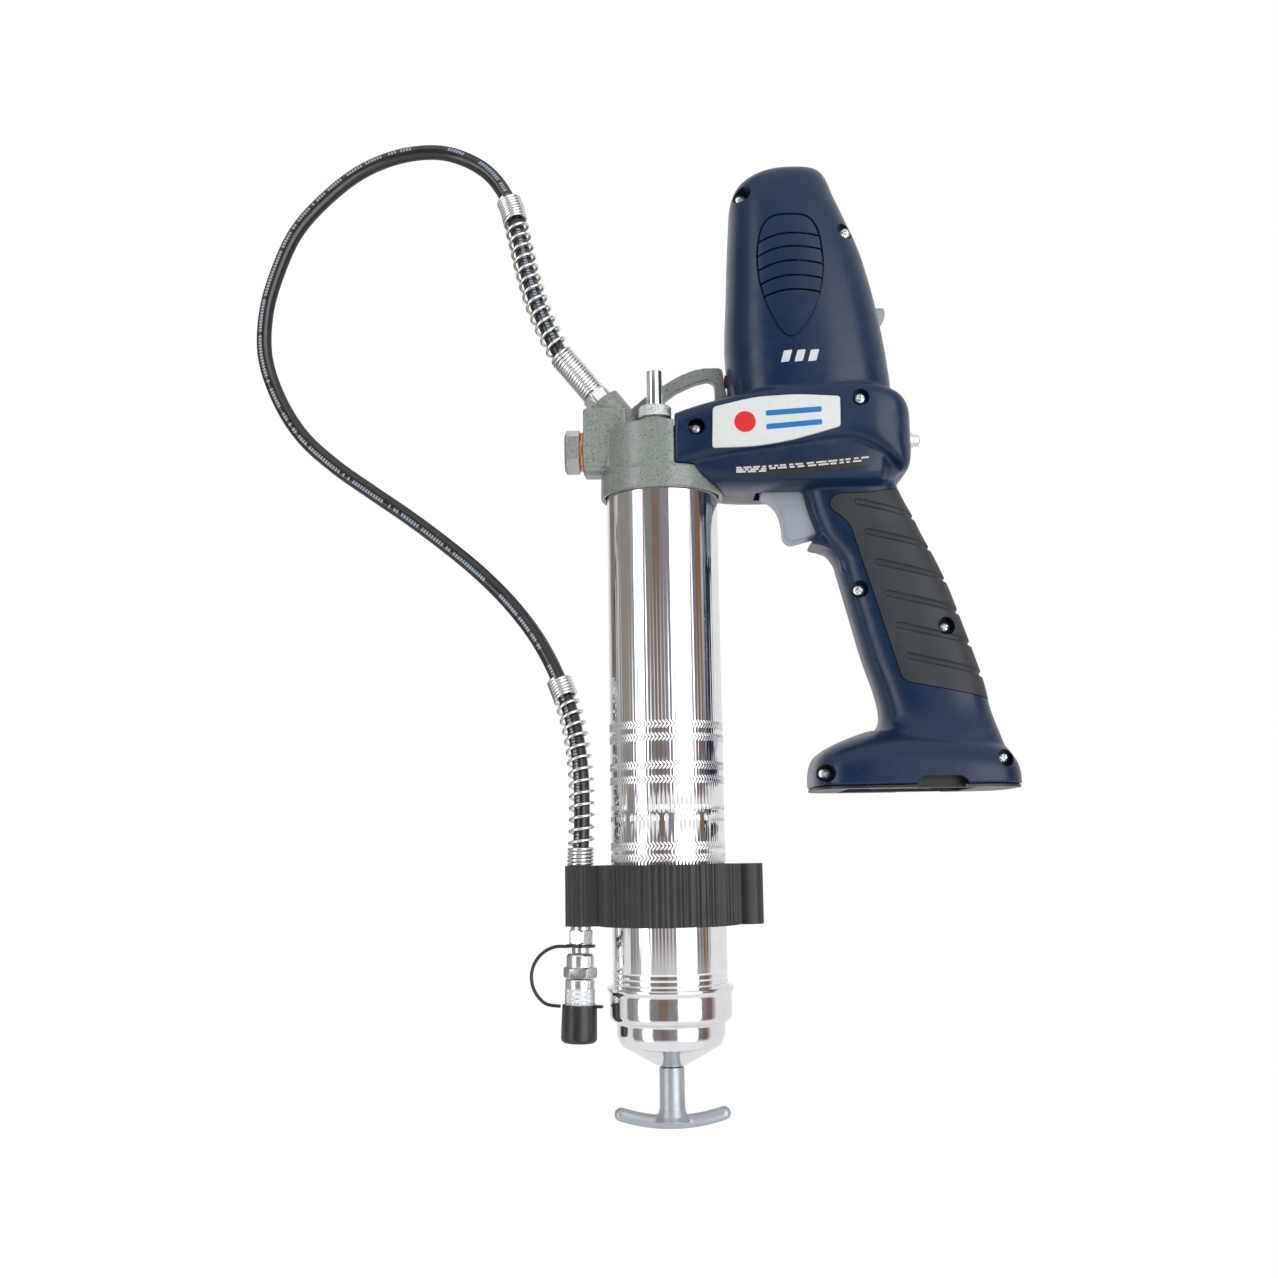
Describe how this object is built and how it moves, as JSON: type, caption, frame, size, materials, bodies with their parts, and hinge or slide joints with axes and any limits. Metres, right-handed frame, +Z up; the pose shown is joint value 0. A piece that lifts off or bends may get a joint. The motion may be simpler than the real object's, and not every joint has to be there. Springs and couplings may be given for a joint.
{
  "type": "cordless grease gun",
  "caption": "Pistol-grip cordless grease gun, lying on its side: chrome grease tube, cast pump head, high-pressure hose with coupler, hose clip and follower handle; battery removed.",
  "frame": {"origin": "centre of the bounding box of everything but the hose line, on the surface that the gun lies on", "axes": "+X across the gun from the grease tube towards the handle, +Y along the grease tube from the follower handle towards the motor, +Z up from the surface"},
  "size_m": [0.3965, 0.5282, 0.072],
  "materials": {
    "navy_plastic": "fine-textured moulded navy plastic",
    "grip_rubber": "dark grey soft overmould",
    "grey_plastic": "smooth light grey plastic",
    "black_plastic": "black moulded plastic",
    "badge": null,
    "label": "thin black plate",
    "casting": "grey-green speckled paint on a casting",
    "chrome": "bright chrome",
    "zinc": "bright zinc plating",
    "steel": "ground steel",
    "copper": "copper",
    "brass": "brass",
    "hose_rubber": "smooth black hose cover",
    "clip_rubber": "black moulded rubber",
    "die_cast": "grey die-cast metal",
    "red_rubber": "red rubber",
    "seal_rubber": "black rubber"
  },
  "bodies": {
    "gun": {"arch_bumper": "red_rubber", "badge_plate_far": "badge", "badge_plate_near": "badge", "battery_base": "black_plastic", "bulk_fill_fitting": "zinc", "cap_tether": "black_plastic", "check_spring": "steel", "copper_washer": "copper", "coupler_body": "zinc", "end_bolt": "zinc", "follower_spring": "steel", "gear_case": "die_cast", "grease_tube": "chrome", "grip_insert_far": "grip_rubber", "grip_insert_near": "grip_rubber", "guard_spring_coupler": "zinc", "guard_spring_head": "zinc", "hose": "hose_rubber", "hose_clip": "clip_rubber", "hose_fitting_coupler": "zinc", "hose_fitting_head": "zinc", "housing_far": "navy_plastic", "housing_near": "navy_plastic", "housing_screw_1": "zinc", "housing_screw_2": "zinc", "housing_screw_3": "zinc", "housing_screw_4": "zinc", "housing_screw_5": "zinc", "housing_screw_6": "zinc", "housing_screw_7": "zinc", "housing_screw_8": "zinc", "motor_can": "steel", "outlet_plug": "zinc", "output_bearing": "steel", "pump_head": "casting", "rating_label": "label", "ring_gear": "steel", "rod_bushing": "brass", "trigger_switch": "black_plastic", "tube_end_cap": "chrome", "tube_gasket": "seal_rubber", "vent_nut": "zinc"},
    "trigger": {"trigger": "grey_plastic"},
    "follower": {"follower_rod": "steel", "follower_cup": "seal_rubber", "follower_handle": "die_cast"},
    "vent": {"vent_stem": "chrome"},
    "selector": {"speed_selector": "grey_plastic"},
    "cap": {"coupler_cap": "black_plastic"},
    "jaw_sleeve": {"coupler_sleeve": "zinc"},
    "crankshaft": {"planet_carrier": "steel", "crank": "steel"},
    "motor_rotor": {"armature": "steel", "cooling_fan": "black_plastic", "sun_pinion": "steel"},
    "planet_1": {"planet_gear_1": "steel"},
    "planet_2": {"planet_gear_2": "steel"},
    "planet_3": {"planet_gear_3": "steel"},
    "plunger": {"plunger": "steel"},
    "valve_ball": {"check_ball": "steel"}
  },
  "joints": [
    {"name": "trigger_squeeze", "type": "slide", "parent": "gun", "child": "trigger", "axis": [1, 0, 0], "range_m": [0, 0.006], "stiffness_N_per_m": 400, "springref_m": -0.003},
    {"name": "follower_pull", "type": "slide", "parent": "gun", "child": "follower", "axis": [0, -1, 0], "range_m": [0, 0.2], "stiffness_N_per_m": 50, "springref_m": -0.1, "deforming": ["follower_spring"]},
    {"name": "vent_press", "type": "slide", "parent": "gun", "child": "vent", "axis": [0, -1, 0], "range_m": [0, 0.003], "stiffness_N_per_m": 800, "springref_m": -0.001},
    {"name": "speed_select", "type": "slide", "parent": "gun", "child": "selector", "axis": [0, -1, 0], "range_m": [0, 0.008]},
    {"name": "cap_pull", "type": "slide", "parent": "gun", "child": "cap", "axis": [-0.0279, -0.9996, 0], "range_m": [0, 0.025], "deforming": ["cap_tether"]},
    {"name": "jaw_sleeve_turn", "type": "hinge", "parent": "gun", "child": "jaw_sleeve", "pos_m": [-0.10622, -0.1498, 0.036], "axis": [-0.0279, -0.9996, 0], "range_deg": [-180, 180]},
    {"name": "crank_spin", "type": "hinge", "parent": "gun", "child": "crankshaft", "pos_m": [0.00999, 0.1298, 0.036], "axis": [0, 1, 0], "continuous": true},
    {"name": "motor_spin", "type": "hinge", "parent": "gun", "child": "motor_rotor", "pos_m": [0.00999, 0.1898, 0.036], "axis": [0, 1, 0], "continuous": true},
    {"name": "planet_1_spin", "type": "hinge", "parent": "crankshaft", "child": "planet_1", "pos_m": [0.02048, 0.1503, 0.036], "axis": [0, 1, 0], "continuous": true},
    {"name": "planet_2_spin", "type": "hinge", "parent": "crankshaft", "child": "planet_2", "pos_m": [0.00473, 0.1503, 0.02691], "axis": [0, 1, 0], "continuous": true},
    {"name": "planet_3_spin", "type": "hinge", "parent": "crankshaft", "child": "planet_3", "pos_m": [0.00473, 0.1503, 0.04509], "axis": [0, 1, 0], "continuous": true},
    {"name": "plunger_stroke", "type": "slide", "parent": "gun", "child": "plunger", "axis": [-1, 0, 0], "range_m": [0, 0.013]},
    {"name": "valve_lift", "type": "slide", "parent": "gun", "child": "valve_ball", "axis": [-1, 0, 0], "range_m": [0, 0.001], "stiffness_N_per_m": 60, "springref_m": -0.0005, "deforming": ["check_spring"]}
  ],
  "couplings": [
    {"joint": "motor_spin", "follows": "crank_spin", "ratio": 4.6667},
    {"joint": "planet_1_spin", "follows": "crank_spin", "ratio": -2.75},
    {"joint": "planet_2_spin", "follows": "crank_spin", "ratio": -2.75},
    {"joint": "planet_3_spin", "follows": "crank_spin", "ratio": -2.75}
  ]
}
